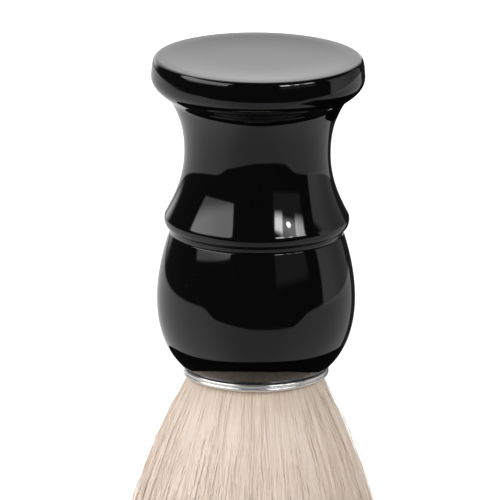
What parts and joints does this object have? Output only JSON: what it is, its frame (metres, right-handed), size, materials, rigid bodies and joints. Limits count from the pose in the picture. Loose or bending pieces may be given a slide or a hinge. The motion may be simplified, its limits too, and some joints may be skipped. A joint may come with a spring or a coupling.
{
  "type": "shaving brush",
  "caption": "Shaving brush hanging from its neck: turned black handle with end disc, concave neck, flared skirt and bulb, beaded bright collar and a splaying bristle knot.",
  "frame": {"origin": "on the brush's axis at the height where a stand's fork bears on the concave neck, just under the end disc", "axes": "+Z along the brush's axis towards the handle's end disc, so the bristles hang towards -Z; +X and +Y are free, because the handle is round"},
  "size_m": [0.0458, 0.046, 0.1068],
  "materials": {
    "black_resin": "polished",
    "bright_plating": "polished",
    "weight_steel": "as turned",
    "cured_glue": "satin",
    "binding_thread": "matt",
    "bristle": "satin"
  },
  "bodies": {
    "handle": {"handle_grip": "black_resin", "handle_bulb": "black_resin", "balance_weight": "weight_steel", "collar_ring": "bright_plating", "adhesive_bed": "cured_glue", "knot_plug": "cured_glue", "knot_binding": "binding_thread", "bristle_core": "bristle"},
    "outer_lock_01": {"outer_lock_01": "bristle"},
    "outer_lock_02": {"outer_lock_02": "bristle"},
    "outer_lock_03": {"outer_lock_03": "bristle"},
    "outer_lock_04": {"outer_lock_04": "bristle"},
    "outer_lock_05": {"outer_lock_05": "bristle"},
    "outer_lock_06": {"outer_lock_06": "bristle"},
    "outer_lock_07": {"outer_lock_07": "bristle"},
    "outer_lock_08": {"outer_lock_08": "bristle"},
    "outer_lock_09": {"outer_lock_09": "bristle"},
    "outer_lock_10": {"outer_lock_10": "bristle"},
    "outer_lock_11": {"outer_lock_11": "bristle"},
    "outer_lock_12": {"outer_lock_12": "bristle"},
    "outer_lock_13": {"outer_lock_13": "bristle"},
    "outer_lock_14": {"outer_lock_14": "bristle"},
    "inner_lock_01": {"inner_lock_01": "bristle"},
    "inner_lock_02": {"inner_lock_02": "bristle"},
    "inner_lock_03": {"inner_lock_03": "bristle"},
    "inner_lock_04": {"inner_lock_04": "bristle"},
    "inner_lock_05": {"inner_lock_05": "bristle"},
    "inner_lock_06": {"inner_lock_06": "bristle"},
    "inner_lock_07": {"inner_lock_07": "bristle"},
    "inner_lock_08": {"inner_lock_08": "bristle"}
  },
  "joints": [
    {"name": "splay_outer_01", "type": "hinge", "parent": "handle", "child": "outer_lock_01", "pos_m": [0.0092, 0, -0.0461], "axis": [0, -1, 0], "range_deg": [0, 20], "stiffness_Nm_per_rad": 0.02},
    {"name": "splay_outer_02", "type": "hinge", "parent": "handle", "child": "outer_lock_02", "pos_m": [0.00829, 0.00399, -0.0461], "axis": [0.4339, -0.901, 0], "range_deg": [0, 20], "stiffness_Nm_per_rad": 0.02},
    {"name": "splay_outer_03", "type": "hinge", "parent": "handle", "child": "outer_lock_03", "pos_m": [0.00574, 0.00719, -0.0461], "axis": [0.7818, -0.6235, 0], "range_deg": [0, 20], "stiffness_Nm_per_rad": 0.02},
    {"name": "splay_outer_04", "type": "hinge", "parent": "handle", "child": "outer_lock_04", "pos_m": [0.00205, 0.00897, -0.0461], "axis": [0.9749, -0.2225, 0], "range_deg": [0, 20], "stiffness_Nm_per_rad": 0.02},
    {"name": "splay_outer_05", "type": "hinge", "parent": "handle", "child": "outer_lock_05", "pos_m": [-0.00205, 0.00897, -0.0461], "axis": [0.9749, 0.2225, 0], "range_deg": [0, 20], "stiffness_Nm_per_rad": 0.02},
    {"name": "splay_outer_06", "type": "hinge", "parent": "handle", "child": "outer_lock_06", "pos_m": [-0.00574, 0.00719, -0.0461], "axis": [0.7818, 0.6235, 0], "range_deg": [0, 20], "stiffness_Nm_per_rad": 0.02},
    {"name": "splay_outer_07", "type": "hinge", "parent": "handle", "child": "outer_lock_07", "pos_m": [-0.00829, 0.00399, -0.0461], "axis": [0.4339, 0.901, 0], "range_deg": [0, 20], "stiffness_Nm_per_rad": 0.02},
    {"name": "splay_outer_08", "type": "hinge", "parent": "handle", "child": "outer_lock_08", "pos_m": [-0.0092, 0, -0.0461], "axis": [0, 1, 0], "range_deg": [0, 20], "stiffness_Nm_per_rad": 0.02},
    {"name": "splay_outer_09", "type": "hinge", "parent": "handle", "child": "outer_lock_09", "pos_m": [-0.00829, -0.00399, -0.0461], "axis": [-0.4339, 0.901, 0], "range_deg": [0, 20], "stiffness_Nm_per_rad": 0.02},
    {"name": "splay_outer_10", "type": "hinge", "parent": "handle", "child": "outer_lock_10", "pos_m": [-0.00574, -0.00719, -0.0461], "axis": [-0.7818, 0.6235, 0], "range_deg": [0, 20], "stiffness_Nm_per_rad": 0.02},
    {"name": "splay_outer_11", "type": "hinge", "parent": "handle", "child": "outer_lock_11", "pos_m": [-0.00205, -0.00897, -0.0461], "axis": [-0.9749, 0.2225, 0], "range_deg": [0, 20], "stiffness_Nm_per_rad": 0.02},
    {"name": "splay_outer_12", "type": "hinge", "parent": "handle", "child": "outer_lock_12", "pos_m": [0.00205, -0.00897, -0.0461], "axis": [-0.9749, -0.2225, 0], "range_deg": [0, 20], "stiffness_Nm_per_rad": 0.02},
    {"name": "splay_outer_13", "type": "hinge", "parent": "handle", "child": "outer_lock_13", "pos_m": [0.00574, -0.00719, -0.0461], "axis": [-0.7818, -0.6235, 0], "range_deg": [0, 20], "stiffness_Nm_per_rad": 0.02},
    {"name": "splay_outer_14", "type": "hinge", "parent": "handle", "child": "outer_lock_14", "pos_m": [0.00829, -0.00399, -0.0461], "axis": [-0.4339, -0.901, 0], "range_deg": [0, 20], "stiffness_Nm_per_rad": 0.02},
    {"name": "splay_inner_01", "type": "hinge", "parent": "handle", "child": "inner_lock_01", "pos_m": [0.0058, 0, -0.0461], "axis": [0, -1, 0], "range_deg": [0, 10], "stiffness_Nm_per_rad": 0.02},
    {"name": "splay_inner_02", "type": "hinge", "parent": "handle", "child": "inner_lock_02", "pos_m": [0.0041, 0.0041, -0.0461], "axis": [0.7071, -0.7071, 0], "range_deg": [0, 10], "stiffness_Nm_per_rad": 0.02},
    {"name": "splay_inner_03", "type": "hinge", "parent": "handle", "child": "inner_lock_03", "pos_m": [0, 0.0058, -0.0461], "axis": [1, 0, 0], "range_deg": [0, 10], "stiffness_Nm_per_rad": 0.02},
    {"name": "splay_inner_04", "type": "hinge", "parent": "handle", "child": "inner_lock_04", "pos_m": [-0.0041, 0.0041, -0.0461], "axis": [0.7071, 0.7071, 0], "range_deg": [0, 10], "stiffness_Nm_per_rad": 0.02},
    {"name": "splay_inner_05", "type": "hinge", "parent": "handle", "child": "inner_lock_05", "pos_m": [-0.0058, 0, -0.0461], "axis": [0, 1, 0], "range_deg": [0, 10], "stiffness_Nm_per_rad": 0.02},
    {"name": "splay_inner_06", "type": "hinge", "parent": "handle", "child": "inner_lock_06", "pos_m": [-0.0041, -0.0041, -0.0461], "axis": [-0.7071, 0.7071, 0], "range_deg": [0, 10], "stiffness_Nm_per_rad": 0.02},
    {"name": "splay_inner_07", "type": "hinge", "parent": "handle", "child": "inner_lock_07", "pos_m": [0, -0.0058, -0.0461], "axis": [-1, 0, 0], "range_deg": [0, 10], "stiffness_Nm_per_rad": 0.02},
    {"name": "splay_inner_08", "type": "hinge", "parent": "handle", "child": "inner_lock_08", "pos_m": [0.0041, -0.0041, -0.0461], "axis": [-0.7071, -0.7071, 0], "range_deg": [0, 10], "stiffness_Nm_per_rad": 0.02}
  ],
  "couplings": [
    {"joint": "splay_outer_02", "follows": "splay_outer_01", "ratio": 1},
    {"joint": "splay_outer_03", "follows": "splay_outer_01", "ratio": 1},
    {"joint": "splay_outer_04", "follows": "splay_outer_01", "ratio": 1},
    {"joint": "splay_outer_05", "follows": "splay_outer_01", "ratio": 1},
    {"joint": "splay_outer_06", "follows": "splay_outer_01", "ratio": 1},
    {"joint": "splay_outer_07", "follows": "splay_outer_01", "ratio": 1},
    {"joint": "splay_outer_08", "follows": "splay_outer_01", "ratio": 1},
    {"joint": "splay_outer_09", "follows": "splay_outer_01", "ratio": 1},
    {"joint": "splay_outer_10", "follows": "splay_outer_01", "ratio": 1},
    {"joint": "splay_outer_11", "follows": "splay_outer_01", "ratio": 1},
    {"joint": "splay_outer_12", "follows": "splay_outer_01", "ratio": 1},
    {"joint": "splay_outer_13", "follows": "splay_outer_01", "ratio": 1},
    {"joint": "splay_outer_14", "follows": "splay_outer_01", "ratio": 1},
    {"joint": "splay_inner_01", "follows": "splay_outer_01", "ratio": 0.5},
    {"joint": "splay_inner_02", "follows": "splay_outer_01", "ratio": 0.5},
    {"joint": "splay_inner_03", "follows": "splay_outer_01", "ratio": 0.5},
    {"joint": "splay_inner_04", "follows": "splay_outer_01", "ratio": 0.5},
    {"joint": "splay_inner_05", "follows": "splay_outer_01", "ratio": 0.5},
    {"joint": "splay_inner_06", "follows": "splay_outer_01", "ratio": 0.5},
    {"joint": "splay_inner_07", "follows": "splay_outer_01", "ratio": 0.5},
    {"joint": "splay_inner_08", "follows": "splay_outer_01", "ratio": 0.5}
  ]
}
